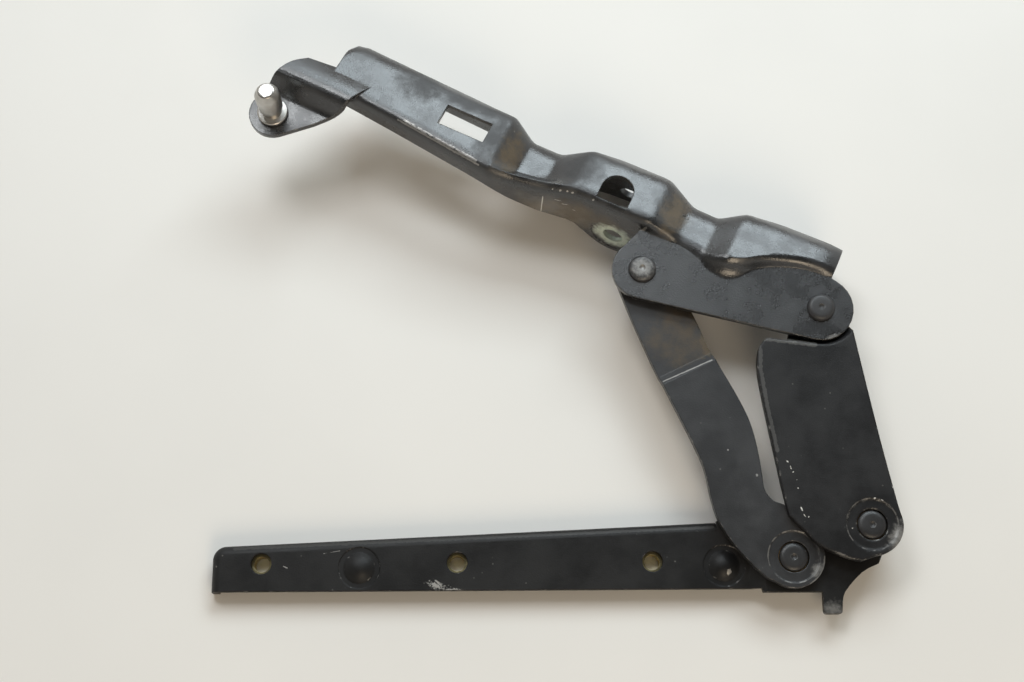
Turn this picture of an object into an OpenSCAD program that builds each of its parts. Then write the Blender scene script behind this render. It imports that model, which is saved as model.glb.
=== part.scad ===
// Car bonnet hinge: a body bracket, two links and a pressed bonnet arm on four riveted pivots.
// The origin is on the middle body bolt's axis at the bracket's back face. +X runs along the bracket
// towards the links, +Y up towards the bonnet, and +Z along the pivot axes towards the outer side.

/* [Body bracket] */
// Distance between neighbouring body bolts
bolt_pitch = 85; // [78:1:95]
// Sheet thickness of the bracket
bracket_t = 3; // [2.5:0.25:3.5]
// Diameter of the bolt holes in the bracket
bolt_hole_d = 9; // [8.5:0.25:10]
// Bar's overhang past the left bolt
bar_overhang = 21.5; // [17:0.5:26]
// Height of the bar above the bolts at its left end
bar_top_left = 8; // [7:0.5:10]
// Height of the bar above the bolts at the front link
bar_top_right = 17.5; // [15:0.5:20]
// Depth of the bar below the bolts
bar_bottom = 12; // [10.5:0.5:14]
// Corner radius of the bar's left end
bar_corner_r = 6; // [5:0.5:7]
// Outside radius of the bent-back rim
rim_r = 4; // [3.75:0.25:4.5]
// Depth of the rim behind the bracket's back face
rim_depth = 6.5; // [5.5:0.5:9]
// Place of the left domed boss along the bar
boss_left_x = -42.5; // [-48:0.5:-36]
// Place of the right domed boss along the bar
boss_right_x = 116; // [113:0.5:118]
// Height of the bosses' centres above the bolts
boss_y = -2; // [-3:0.5:0]
// Diameter of the domed bosses
boss_d = 12.6; // [11:0.2:14]
// Height of the domed bosses
boss_h = 2.4; // [1.8:0.2:2.8]
// Diameter of the coined ring round each boss
boss_ring_d = 18; // [16:0.5:19]
// Step of the pivot plate in front of the bar
plate_step = 4; // [3.5:0.25:5]
// Drop of the lower edge past the step
edge_drop = 2; // [1.5:0.25:3]
// Width of the tail tab
tail_w = 8; // [7:0.5:9]
// Reach of the tail tab below the bar's lower edge
tail_reach = 9.5; // [8:0.5:12]

/* [Linkage] */
// Front lower pivot along the bracket
front_low_x = 145; // [142:0.5:148]
// Front lower pivot above the bolts
front_low_y = 0.5; // [-1:0.25:2]
// Rear lower pivot along the bracket
rear_low_x = 178.7; // [177:0.1:182]
// Rear lower pivot above the bolts
rear_low_y = 13.6; // [12:0.1:15]
// Front link's length between its pivots
front_len = 143.2; // [140:0.2:147]
// Rear link's length between its pivots
rear_len = 98.8; // [96:0.2:102]
// Distance between the bonnet arm's pivots
arm_span = 81.6; // [79:0.2:84]
// Rear link's angle to the bracket when the bonnet is open
rear_angle = 99.3; // [97:0.1:101]

/* [Links] */
// Sheet thickness of the links
link_t = 4; // [3.5:0.25:4.5]
// Step back of the front link's upper end
front_step = 2.5; // [2:0.25:3]
// Share of the front link's length that lies below its step
front_step_at = 0.644; // [0.6:0.004:0.68]
// Radius of the links' lower lobes
low_lobe_r = 13.4; // [12.5:0.1:14.2]
// Radius of the links' upper lobes
top_lobe_r = 12; // [11.6:0.1:12.6]
// Distance of the rear link's lip from its upper pivot
lip_reach = 17.3; // [17.2:0.1:18.6]
// Run of the rear link's step behind the lip
lip_run = 3.2; // [2.8:0.1:3.4]
// Slant of the rear link's lip
lip_slant = 16.4; // [14:0.2:18]

/* [Pivots] */
// Diameter of the rivets' shanks
shank_d = 10; // [9.5:0.1:10.4]
// Diameter of the rivets' heads
head_d = 12.4; // [11.8:0.2:13.2]
// Height of the rivets' sunk heads
sunk_head_h = 1.8; // [1.6:0.1:2]
// Height of the rivets' raised heads
raised_head_h = 2.5; // [2:0.1:3]
// Diameter of the coined ring round a sunk head
dish_d = 22.6; // [21:0.2:24]
// Depth of the coined ring round a sunk head
dish_rim = 0.5; // [0.3:0.1:0.8]
// Room round a sunk head
head_room = 0.5; // [0.3:0.1:0.8]
// Diameter of the rivets' formed tails
tail_head_d = 19.2; // [18.4:0.2:20]
// Height of the rivets' formed tails
tail_head_h = 2.2; // [1.8:0.1:2.4]
// Outside diameter of the bearing bushes
bush_d = 13; // [12.6:0.1:13.4]
// Outside diameter of the thrust washers
washer_d = 21; // [20:0.2:22]
// Thickness of the front lower thrust washer
washer_t = 0.8; // [0.6:0.1:1]

/* [Bonnet arm] */
// Sheet thickness of the arm
arm_t = 3; // [2.6:0.1:3.2]
// Angle between the arm's pivots and its bonnet flange
arm_lean = 12.2; // [11:0.2:13.4]
// Reach of the pads to the left of the front upper pivot
arm_left = 168; // [164:1:172]
// Reach of the pads to the right of the front upper pivot
arm_right = 79; // [77:0.5:81]
// Height of the bonnet flange above the front upper pivot
flange_v = 45; // [44:0.5:48]
// Height of the pads' far edge above the pivot plate
pad_rise = 0.6; // [0:0.2:2]
// Lean of the pads' faces
pad_lean = 13; // [11:0.5:15]
// Radius of the roll between the pads and the bonnet flange
far_r = 8; // [7:0.25:8.5]
// Depth of the bonnet flange behind the first pad's far edge
flange_depth = 29.5; // [27:0.5:31]
// Depth of the bonnet flange behind the second pad's far edge
flange_deep = 44; // [40:0.5:46]
// Depth of the first valley
valley_a_depth = 9; // [7:0.5:10]
// Depth of the second valley
valley_b_depth = 5.2; // [4.8:0.1:5.4]
// Sink of the bonnet flange at the valleys
valley_sink = 5; // [4:0.25:6]
// Drop of the third pad's right end
end_drop = 1.6; // [1:0.2:2]
// Depth of the stiffening wall along the first pad
wall_depth = 10; // [8:0.5:12]
// Radius of the pivot plate's lobe at the front link
front_lobe_r = 13.6; // [13:0.1:14.2]
// Radius of the pivot plate's lobe at the rear link
rear_lobe_r = 14.8; // [14.2:0.1:15.4]
// Width of the slot in the first pad
slot_w = 11; // [9:0.5:12]
// Length of the slot in the first pad
slot_len = 22.8; // [20:0.2:25]
// Place of the slot's middle, to the left of the front upper pivot
slot_u = 101.8; // [99:0.2:105]
// Width of the D-shaped window in the second pad
window_w = 15; // [13:0.5:16]
// Place of the window's middle, to the left of the front upper pivot
window_u = 25; // [23:0.5:27]
// Place of the ear's hole, to the left of the front upper pivot
ear_u = 20; // [19:0.25:21]
// Depth of the ear's hole below the near fold
ear_depth = 24; // [22:0.5:26]
// Radius of the ear
ear_r = 13; // [12:0.25:14]
// Place of the front bolt hole in the bonnet flange, to the left of the front upper pivot
flange_hole_u = 140; // [136:1:144]
// Diameter of the bolt holes in the ear and the bonnet flange
bonnet_hole_d = 9.5; // [9:0.25:10.5]
// Diameter of the coined washer seat on the ear
seat_d = 22; // [20:0.5:22.5]
// Depth of the coined washer seat on the ear
seat_depth = 0.4; // [0.3:0.05:0.6]

/* [Tongue and stud] */
// Reach of the tongue past the pads' left end
tongue_reach = 24; // [22:0.5:27]
// Place of the stud, to the left of the front upper pivot
stud_u = 185.4; // [184:0.2:187]
// Place of the stud below the front upper pivot's level
stud_v = -2.9; // [-4:0.1:-2]
// Radius of the tab round the stud
tab_r = 11.2; // [10.4:0.2:12]
// Diameter of the stud's head
stud_d = 11.4; // [10.6:0.2:12]
// Diameter of the stud's waist and shank
waist_d = 8.8; // [8.2:0.1:9.2]
// Diameter of the stud's collar
collar_d = 14; // [13.4:0.2:15]
// Height of the stud's collar
collar_h = 2.4; // [2:0.1:2.8]
// Length of the stud's waist
waist_len = 6; // [5:0.25:7]
// Length of the stud in front of the tab
stud_len = 24; // [21:0.5:26]
// Length of the stud's tapered tip
tip_len = 4.6; // [3.5:0.1:5.5]
// Diameter of the flat on the stud's tip
tip_d = 6.8; // [6:0.2:8]

/* [Weld nuts] */
// Width across the flats of the weld nuts
nut_af = 11; // [10.6:0.1:11.2]
// Height of the weld nuts with their welding rings
nut_h = 6.5; // [5.5:0.25:8]
// Diameter of the nuts' welding rings
nut_ring_d = 9.2; // [9:0.1:9.4]
// Height of the nuts' welding rings
nut_ring_h = 1.2; // [1.1:0.1:1.6]
// Diameter of the bore that carries the nuts' thread
thread_d = 6.8; // [6.6:0.1:7]

/* [Fits] */
// Running clearance on the rivets' shanks
run_gap = 0.05; // [0.03:0.01:0.08]
// Clearance of pressed and riveted pieces in their holes
seat_gap = 0.02; // [0.01:0.01:0.03]
// Clearance between flat faces that slide
face_gap = 0.3; // [0.25:0.05:0.4]
// Extra room of the front link's upper hole round its bush
free_gap = 1.15; // [1.1:0.05:1.4]

/* [Hidden] */
$fn = 64;

// Levels along the pivot axes
level_room = 0.1;
plate_z = plate_step;
plate_top = plate_z + bracket_t;
front_z = plate_top + washer_t + face_gap;
front_top = front_z + link_t;
rear_z = front_top + face_gap + level_room;
rear_top = rear_z + link_t;
upper_z = front_z - front_step;
upper_top = upper_z + link_t;
arm_z = front_top + face_gap;
arm_top = arm_z + arm_t;
dish_depth = sunk_head_h + face_gap + level_room;

// Pivots: the rear link's angle sets its upper end, and the front link closes the linkage
front_low = [front_low_x, front_low_y];
rear_low = [rear_low_x, rear_low_y];
rear_up = rear_low + rear_len * [cos(rear_angle), sin(rear_angle)];
closing = rear_up - front_low;
closing_len = norm(closing);
closing_side = (front_len ^ 2 - arm_span ^ 2 + closing_len ^ 2) / (2 * front_len * closing_len);
front_angle = atan2(closing[1], closing[0]) + acos(closing_side);
front_up = front_low + front_len * [cos(front_angle), sin(front_angle)];
span_angle = atan2(rear_up[1] - front_up[1], rear_up[0] - front_up[0]);
arm_angle = span_angle - arm_lean;

// Bracket outline
bar_left = -bolt_pitch - bar_overhang;
bar_to_pivot = 31.5;
bar_right = front_low_x - bar_to_pivot;
bar_slope = atan2(bar_top_right - bar_top_left, bar_right - bar_left);
bar_length = norm([bar_right - bar_left, bar_top_right - bar_top_left]);
boss_to_step = 11;
step_x = boss_right_x + boss_to_step;
step_run = 6;
step_to_edge = 4.6;
edge_x = step_x + step_to_edge;
edge_run = 0.6;
pivot_to_tail = 12.5;
tail_x = front_low_x + pivot_to_tail;
tail_corner_r = 1.5;
lower_edge = -bar_bottom - edge_drop;

// Edges of the links as [share of the length, distance to the left of the line between the pivots]
front_left_edge = [[-0.02, 14.6], [0.04, 17.8], [0.12, 20.8], [0.2, 21.7], [0.27, 20], [0.36, 16.7],
    [0.46, 15.8], [0.66, 15.4], [0.85, 14], [0.96, 12.6]];
front_right_edge = [[0.03, -13], [0.09, -11], [0.146, -7.4], [0.178, -3.6], [0.215, -2.5], [0.26, -4.6],
    [0.32, -7.6], [0.41, -10.8], [0.5, -11.6], [0.66, -10.9], [0.8, -12], [0.97, -11.8]];
rear_left_edge = [[-0.148, 8], [-0.115, 15], [-0.05, 24.2], [0.02, 29], [0.08, 33], [0.13, 34.5],
    [0.38, 34.8], [0.6, 34.8], [0.703, 34.6], [0.76, 34.2], [0.815, 33.2], [0.865, 31.2], [0.894, 28.2],
    [0.903, 25.2], [0.892, 21.6], [0.881, 18.8], [0.894, 16.4], [0.95, 14], [1, 12.4]];
rear_right_edge = [[0.06, -12.8], [0.4, -11.9], [0.95, -11.6]];

// Near edge of the arm's pads as [place along the arm, height above the front upper pivot]
near_edge = [[-arm_left, 18], [-140, 15.6], [-104, 11.8], [-86, 10], [-79, 10], [-70, 11.4], [-58, 13.9],
    [-46, 16.8], [-38, 18], [-5, 18], [9, 18], [18, 17.2], [27, 15.6], [34, 16.6], [40, 19], [45, 22.8],
    [52, 26.8], [66, 32], [arm_right, 33]];
// Foot of the wall between the pads and the pivot plate, in the same way
foot_edge = [[-12, 16.4], [9, 16.4], [15, 15.2], [19, 13.4], [23, 11.4], [29, 9.8], [35, 9.6], [39.5, 11.4],
    [42.5, 15.4], [45.5, 20], [52, 24.8], [66, 30.2], [arm_right, 31.2]];
// Run of the pads' far edge past the flange's height, as [place along the arm, distance]
far_run = [[-arm_left, -1.4], [2.5 - arm_left, 2], [7 - arm_left, 3], [-88, 0], [-44, 0.2], [-29, 1.8],
    [-3, 2.4], [10, 0.8], [22, 0.6], [35, 2], [50, 4], [arm_right, 5.2]];
// Depth of the wall below the near fold, as [place along the arm, depth]; it grows into the ear
ear_bottom = ear_depth + ear_r;
wall_run = [[-arm_left, wall_depth - 0.5], [-88, wall_depth + 1], [-80, wall_depth + 2.7],
    [-70, wall_depth + 6.6], [-61, wall_depth + 10], [-54, wall_depth + 12.4],
    [-ear_u - ear_r - 6, ear_depth + 3], [-ear_u - ear_r + 1, ear_depth + 8],
    [-ear_u - 6, ear_bottom - 1.2], [-ear_u, ear_bottom], [-ear_u + 6, ear_bottom - 1.2],
    [-ear_u + 10, ear_bottom - 4]];
// Depth of the bonnet flange, in the same way
flange_end_depth = (flange_depth + flange_deep) / 2;
flange_run = [[-arm_left, flange_depth], [-84, flange_depth], [-46, flange_deep], [-6, flange_deep],
    [24, flange_end_depth], [arm_right, flange_end_depth]];
// Stretches where the valleys fall, lie flat and rise, and the share of each that is rounded at its ends
valley_a = [-84.5, -70, -59, -41.5];
valley_b = [-8, 11, 20, 34.5];
ramp_round = 0.22;
ramp_shares = [0, ramp_round / 2, ramp_round, 0.5, 1 - ramp_round, 1 - ramp_round / 2, 1];
// Places along the arm at which the pressed sheet's section is drawn
stations = concat([-arm_left, 2.5 - arm_left, 7 - arm_left, -148, -132, -116, -100, -92],
    valley_stops(valley_a), [for (u = [-39 : 3 : -9]) u], valley_stops(valley_b),
    [37, 39.5, 42, 44.5, 47, 51, 56, 62, 67], [for (d = [8.5, 5.5, 2.5, 0]) arm_right - d]);
pad_edge_z = arm_top + pad_rise;
near_r = 3.6;
near_fall = 5;
near_sink = 2;
end_run = 9;
wall_lean = 7;
// Where the free wall turns into the wall that stands on the pivot plate
wall_lands = [-10, -4];
skin_room = 0.1;
skin_t = arm_t - skin_room;
root_sink = 0.3;
root_share = 0.6;
// Shares that place the bends' inner points
fold_share = [0.14, 0.5];
roll_share = [0.55, 0.5];
roll_height = 1.2;
flange_holes = [[-flange_hole_u, -1], [2.5 - window_u, -18]];

function mix(a, b, s) = a + (b - a) * s;
function eased(c, e) = c < e ? c ^ 2 / (2 * e * (1 - e)) : (c - e / 2) / (1 - e);
function ramp(s) = let (c = min(max(s, 0), 1))
    c < 0.5 ? eased(c, ramp_round) : 1 - eased(1 - c, ramp_round);
function rise(u, a, b) = ramp((u - a) / (b - a));
function trough(u, v) = rise(u, v[0], v[1]) - rise(u, v[2], v[3]);
function ramp_stops(a, b) = [for (s = ramp_shares) mix(a, b, s)];
function valley_stops(v) = concat(ramp_stops(v[0], v[1]), [mix(v[1], v[2], 0.5)], ramp_stops(v[2], v[3]));
function curve(p, s) = (1 - s) ^ 3 * p[0] + 3 * s * (1 - s) ^ 2 * p[1] + 3 * s ^ 2 * (1 - s) * p[2]
    + s ^ 3 * p[3];
function knot(p, i) = p[min(max(i, 0), len(p) - 1)];
function through(a, b, c, d, s) = 0.5 * (2 * b + (c - a) * s + (2 * a - 5 * b + 4 * c - d) * s ^ 2
    + (3 * b - a - 3 * c + d) * s ^ 3);
function spline(p, n = 6) = concat([for (i = [0 : len(p) - 2], k = [0 : n - 1])
    through(knot(p, i - 1), p[i], p[i + 1], knot(p, i + 2), k / n)], [p[len(p) - 1]]);
function stretch(edge, length) = [for (q = edge) [q[0] * length, q[1]]];
function arc(centre, r, from, to, n = 12) = [for (i = [0 : n]) let (a = mix(from, to, i / n))
    centre + r * [cos(a), sin(a)]];
function backwards(p) = [for (i = [len(p) - 1 : -1 : 0]) p[i]];

// Height of the pads' plane, and of the pressed face with its two valleys and its lowered right end
near_line = spline(near_edge, 4);
foot_line = spline(foot_edge, 4);
function pad_z(v) = pad_edge_z + (flange_v - v) * tan(pad_lean);
function near_v(u) = lookup(u, near_line);
function foot_v(u) = lookup(u, foot_line);
function end_z(u) = end_drop * max(0, 1 + (u - arm_right) / end_run) ^ 2;
function face_z(u, v) = pad_z(v) - end_z(u) - valley_b_depth * trough(u, valley_b)
    - mix(near_sink, valley_a_depth, ramp((v - near_v(u) - near_r) / near_fall)) * trough(u, valley_a);
function face_t(u, v, t) = t * norm([1, tan(pad_lean), (face_z(u + 1, v) - face_z(u - 1, v)) / 2]);
function flange_low(u) = pad_edge_z - lookup(u, flange_run);

// Section of the pressed sheet at one place along the arm, for its outer face (t = 0) or its inner face
function section(u, t) =
    let (sunk = max(trough(u, valley_a), trough(u, valley_b)),
        held = rise(u, wall_lands[0], wall_lands[1]),
        vn = near_v(u),
        vf = flange_v + lookup(u, far_run) - valley_sink * sunk,
        fold_z = face_z(u, vn + near_r),
        fold_in = fold_z - face_t(u, vn + near_r, t),
        depth = lookup(u, wall_run),
        root = arm_top - root_sink - root_share * t,
        lean = tan(wall_lean),
        bend = near_r - t,
        wall = [[vn + t - depth * lean, fold_z - depth], [vn + t - depth * lean / 2, fold_z - depth / 2],
            [vn + t - near_r * lean, fold_z - near_r],
            [vn + t + bend * fold_share[0], fold_in - bend * fold_share[1]],
            [vn + t + bend * fold_share[1], fold_in - bend * fold_share[0]], [vn + near_r, fold_in]],
        foot = [[foot_v(u), root], [vn + t, root], [vn + t, fold_in], [vn + near_r, fold_in]],
        lip_v = vf - far_r,
        lip = face_z(u, lip_v),
        lip_in = lip - face_t(u, lip_v, t),
        roll_run = far_r - t,
        roll_end = lip - far_r * roll_height,
        roll_in = roll_run * roll_share[0],
        roll = [[lip_v, lip_in], [lip_v + roll_in, lip_in - roll_in * tan(pad_lean)],
            [vf - t, lip_in - roll_run * roll_share[1]], [vf - t, roll_end]])
    concat([for (i = [0 : 5]) mix(wall[i], curve(foot, i / 5), held)],
        [for (i = [1 : 6]) let (v = mix(vn + near_r, lip_v, i / 7)) [v, face_z(u, v) - face_t(u, v, t)]],
        [for (s = [0 : 1 / 5 : 1]) curve(roll, s)],
        [[vf - t, mix(roll_end, flange_low(u), 0.5)], [vf - t, flange_low(u)]]);
function skin(t) = [for (u = stations) [for (q = section(u, t)) [u, q[0], q[1]]]];
outer_skin = skin(0);
inner_skin = skin(skin_t);
rows = len(stations);
cols = len(outer_skin[0]);
skin_points = concat([for (r = outer_skin) each r], [for (r = inner_skin) each r]);
inner_start = rows * cols;
function skin_quad(a, b, c, d) = [[a, b, c], [a, c, d]];
skin_faces = concat(
    [for (i = [0 : rows - 2], j = [0 : cols - 2]) let (a = i * cols + j)
        each skin_quad(a, a + 1, a + cols + 1, a + cols)],
    [for (i = [0 : rows - 2], j = [0 : cols - 2]) let (a = inner_start + i * cols + j)
        each skin_quad(a, a + cols, a + cols + 1, a + 1)],
    [for (j = [0 : cols - 2]) let (a = j) each skin_quad(a, a + inner_start, a + inner_start + 1, a + 1)],
    [for (j = [0 : cols - 2]) let (a = (rows - 1) * cols + j)
        each skin_quad(a, a + 1, a + inner_start + 1, a + inner_start)],
    [for (i = [0 : rows - 2]) let (a = i * cols)
        each skin_quad(a, a + cols, a + cols + inner_start, a + inner_start)],
    [for (i = [0 : rows - 2]) let (a = i * cols + cols - 1)
        each skin_quad(a, a + inner_start, a + cols + inner_start, a + cols)]);

// A sheet that follows a stepped side profile, given as [place, height] pairs of its lower face
module stepped_sheet(line, thickness) {
    reach = 200;
    rotate([90, 0, 0])
        linear_extrude(2 * reach, center = true)
            polygon(concat(line, [for (q = backwards(line)) q + [0, thickness]]));
}

// The bent-back rim's section: flat sheet up to the bend, a quarter bend and a short leg
module rim_section(reach) {
    bend = [reach - rim_r, bracket_t - rim_r];
    polygon(concat([[reach - rim_r - 1, 0]], backwards(arc(bend, rim_r - bracket_t, 0, 90, 4)),
        [[reach - bracket_t, -rim_depth], [reach, -rim_depth]], arc(bend, rim_r, 0, 90, 6),
        [[reach - rim_r - 1, bracket_t]]));
}

// The rim follows the left end, its round corner and the slanted upper edge
module bar_rim() {
    corner = [bar_left + bar_corner_r, bar_top_left - bar_corner_r];
    translate(corner) {
        rotate(bar_slope)
            rotate([90, 0, 90])
                linear_extrude(bar_length - bar_corner_r) rim_section(bar_corner_r);
        rotate(90 + bar_slope)
            rotate_extrude(angle = 90 - bar_slope) rim_section(bar_corner_r);
        mirror([1, 0, 0])
            rotate([90, 0, 0])
                linear_extrude(bar_bottom + corner[1]) rim_section(bar_corner_r);
    }
}

// Flat sheet of the bracket inside its rim, with the pivot plate and the tail tab
module bracket_outline() {
    inner_top = function (x) bar_top_left + (x - bar_left) * tan(bar_slope) - rim_r / cos(bar_slope);
    inner_r = bar_corner_r - rim_r;
    corner = [bar_left + bar_corner_r, bar_top_left - bar_corner_r];
    tail_end = lower_edge - tail_reach;
    top_bend = [24, 3];
    lobe_inset = 1.2;
    tail_right = tail_x + tail_w;
    polygon(concat([[bar_left + rim_r, -bar_bottom], [edge_x, -bar_bottom], [edge_x + edge_run, lower_edge],
        [tail_x, lower_edge]],
        arc([tail_x, tail_end] + tail_corner_r * [1, 1], tail_corner_r, 180, 270, 3),
        arc([tail_right, tail_end] + tail_corner_r * [-1, 1], tail_corner_r, 270, 360, 3),
        spline([[tail_right + 0.2, tail_end + 4], [tail_right + 1.7, lower_edge],
            [tail_right + 9.5, rear_low_y - 19.4], [tail_right + 17, rear_low_y - 15.6]], 3),
        arc(rear_low, low_lobe_r - lobe_inset, -60, 80),
        [[bar_right, bar_top_right] + top_bend, [bar_right, bar_top_right],
            [bar_right, inner_top(bar_right)]],
        arc(corner, inner_r, 90 + bar_slope, 180, 4)));
}

// A dome pressed into the bar from behind, inside a coined ring
module boss_ball(inset) {
    cap_r = boss_d / 2;
    ball_r = (cap_r ^ 2 + boss_h ^ 2) / (2 * boss_h);
    translate([0, 0, bracket_t + boss_h - ball_r]) sphere(ball_r - inset);
}

module boss_places() {
    for (x = [boss_left_x, boss_right_x])
        translate([x, boss_y, 0]) children();
}

module body_bracket() {
    bolts = [-bolt_pitch, 0, bolt_pitch];
    ring_depth = 0.35;
    ring_gap = 0.6;
    dome_thinning = 0.6;
    color("#1c1e20")
        difference() {
            union() {
                intersection() {
                    translate([0, 0, -1]) linear_extrude(plate_top + 2) bracket_outline();
                    stepped_sheet([[bar_left, 0], [step_x, 0], [step_x + step_run, plate_z],
                        [rear_low_x + 40, plate_z]], bracket_t);
                }
                bar_rim();
                boss_places()
                    intersection() {
                        boss_ball(0);
                        translate([0, 0, bracket_t / 2]) cylinder(d = boss_d, h = bracket_t + boss_h);
                    }
            }
            for (x = bolts)
                translate([x, 0, -1]) cylinder(d = bolt_hole_d, h = bracket_t + 2);
            for (p = [front_low, rear_low])
                translate(p) cylinder(d = shank_d + 2 * seat_gap, h = plate_top + 1);
            boss_places()
                translate([0, 0, bracket_t - ring_depth]) ring(boss_ring_d, boss_d + ring_gap, 1);
            boss_places() boss_ball(bracket_t - dome_thinning);
        }
}

module weld_nut(x) {
    color("#b8a35e")
        translate([x, 0, -nut_h])
            difference() {
                union() {
                    cylinder(d = nut_af / cos(30), h = nut_h - nut_ring_h, $fn = 6);
                    cylinder(d = nut_ring_d, h = nut_h);
                }
                translate([0, 0, -1]) cylinder(d = thread_d, h = nut_h + 2);
            }
}

module left_weld_nut() weld_nut(-bolt_pitch);
module middle_weld_nut() weld_nut(0);
module right_weld_nut() weld_nut(bolt_pitch);

// Shallow coined ring and the seat of a sunk rivet head, cut down from a link's outer face
module head_dish(top) {
    translate([0, 0, top - dish_depth]) cylinder(d = head_d + 2 * head_room, h = dish_depth + 1);
    translate([0, 0, top - dish_rim]) cylinder(d1 = dish_d - 2 * dish_rim, d2 = dish_d, h = dish_rim);
}

module front_outline() {
    polygon(concat(arc([0, 0], low_lobe_r, 118, 272), spline(stretch(front_right_edge, front_len)),
        arc([front_len, 0], top_lobe_r, -80, 80), backwards(spline(stretch(front_left_edge, front_len)))));
}

module front_link() {
    step = front_step_at * front_len;
    step_run = 4;
    color("#191b1d")
        translate(front_low)
            rotate(front_angle)
                difference() {
                    intersection() {
                        linear_extrude(rear_top) front_outline();
                        stepped_sheet([[-40, front_z], [step, front_z], [step + step_run, upper_z],
                            [front_len + 40, upper_z]], link_t);
                    }
                    cylinder(d = bush_d + 2 * seat_gap, h = rear_top);
                    head_dish(front_top);
                    translate([front_len, 0, 0]) cylinder(d = bush_d + 2 * free_gap, h = rear_top);
                }
}

module rear_outline() {
    polygon(concat(arc([0, 0], low_lobe_r, 176, 268), spline(stretch(rear_right_edge, rear_len)),
        arc([rear_len, 0], top_lobe_r, -80, 80), backwards(spline(stretch(rear_left_edge, rear_len)))));
}

// The rear link's sheet round its upper pivot: the step is straight on the left and an arc on the right
module rear_sheet() {
    reach = 2 * rear_len;
    profile = [[0, upper_z], [lip_reach - lip_run, upper_z], [lip_reach, rear_z], [reach, rear_z]];
    intersection() {
        mirror([1, 0, 0]) stepped_sheet(concat([[-reach, upper_z]], profile), link_t);
        translate([-reach, 0, 0]) cube([2 * reach, reach, rear_top + 1]);
    }
    rotate(180)
        rotate_extrude(angle = 180)
            polygon(concat(profile, [for (q = backwards(profile)) q + [0, link_t]]));
}

module rear_link() {
    color("#191b1d")
        translate(rear_low)
            rotate(rear_angle)
                difference() {
                    intersection() {
                        linear_extrude(rear_top + 1) rear_outline();
                        translate([rear_len, 0, 0]) rotate(-lip_slant) rear_sheet();
                    }
                    cylinder(d = bush_d + 2 * seat_gap, h = rear_top + 1);
                    head_dish(rear_top);
                    translate([rear_len, 0, 0]) cylinder(d = bush_d + 2 * seat_gap, h = rear_top);
                }
}

// Pieces of the arm are drawn along its bonnet flange, from the front upper pivot
module along_arm() {
    translate(front_up) rotate(arm_angle) children();
}

module pivot_plate_outline() {
    far = arm_span * [cos(arm_lean), sin(arm_lean)];
    held = [for (u = stations) if (u > -9 && u < arm_right) [u, mix(near_v(u) + 0.5, foot_v(u), 0.25)]];
    polygon(concat(arc([0, 0], front_lobe_r, 150, 270 + arm_lean), arc(far, rear_lobe_r, arm_lean - 90, 84),
        backwards(held)));
}

// The ear's hole is square to the leaning wall
module ear_place() {
    translate([-ear_u, near_v(-ear_u), face_z(-ear_u, near_v(-ear_u) + near_r)])
        rotate([-wall_lean, 0, 0])
            translate([0, 0, -ear_depth / cos(wall_lean)]) children();
}

// Section of the tongue: the pad's edge, a round ridge, a flared wall and the flat tab
module tongue_section() {
    ridge = [[31, pad_z(31) - 1.6], [24, pad_z(24) + 1], [20, pad_z(14) + 0.6], [15.5, pad_z(14) + 0.6]];
    slope = [[15.5, pad_z(14) + 0.6], [10.5, pad_z(14) + 0.6], [9.5, arm_top], [5, arm_top]];
    top = concat([for (s = [0 : 1 / 6 : 1]) curve(ridge, s)],
        [for (s = [1 / 8 : 1 / 8 : 1]) curve(slope, s)], [[-30, arm_top]]);
    last = len(top) - 1;
    under = [for (i = [0 : last])
        let (d = top[min(i + 1, last)] - top[max(i - 1, 0)], n = [d[1], -d[0]] / norm(d))
            top[i] - arm_t * n];
    polygon(concat(top, backwards(under)));
}

module tongue_outline() {
    left = -arm_left - tongue_reach;
    polygon(concat(arc([-stud_u, stud_v], tab_r, 170, 310),
        [[-arm_left + 2, 0], [-arm_left + 12, 11.5], [-arm_left + 21, 30], [-arm_left + 4, 29.5]],
        backwards(spline([[left - 3, 3], [left + 1, 14], [left + 5, 22], [left + 10, 27.5]]))));
}

module tongue() {
    intersection() {
        translate([-stud_u - 30, 0, 0])
            rotate([90, 0, 90])
                linear_extrude(80) tongue_section();
        linear_extrude(pad_edge_z + 40) tongue_outline();
    }
}

module bonnet_arm() {
    far = arm_span * [cos(arm_lean), sin(arm_lean)];
    fold_to_slot = 17;
    window_inset = 0.6;
    slot_v = near_v(-slot_u) + fold_to_slot;
    window_v = near_v(-window_u) + near_r - window_inset;
    color("#24262a")
        along_arm()
            difference() {
                union() {
                    polyhedron(skin_points, skin_faces, convexity = 8);
                    translate([0, 0, arm_z]) linear_extrude(arm_t) pivot_plate_outline();
                    tongue();
                }
                for (p = [[0, 0], far])
                    translate([p[0], p[1], arm_z - 1]) cylinder(d = shank_d + 2 * seat_gap, h = arm_t + 2);
                translate([-stud_u, stud_v, arm_z - 1]) cylinder(d = waist_d + 2 * seat_gap, h = arm_t + 2);
                translate([-slot_u - slot_len / 2, slot_v - slot_w / 2, 0]) cube([slot_len, slot_w, 40]);
                translate([-window_u, window_v + window_w / 2, 5]) cylinder(d = window_w, h = 35);
                translate([-window_u - window_w / 2, window_v, 5]) cube([window_w, window_w / 2, 35]);
                ear_place()
                    rotate([-90, 0, 0]) {
                        translate([0, 0, -10]) cylinder(d = bonnet_hole_d, h = 20);
                        translate([0, 0, seat_depth - 10]) cylinder(d = seat_d, h = 10);
                    }
                for (q = flange_holes)
                    translate([q[0], flange_v - 12, q[1]])
                        rotate([-90, 0, 0]) cylinder(d = bonnet_hole_d, h = 24);
            }
}

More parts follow.
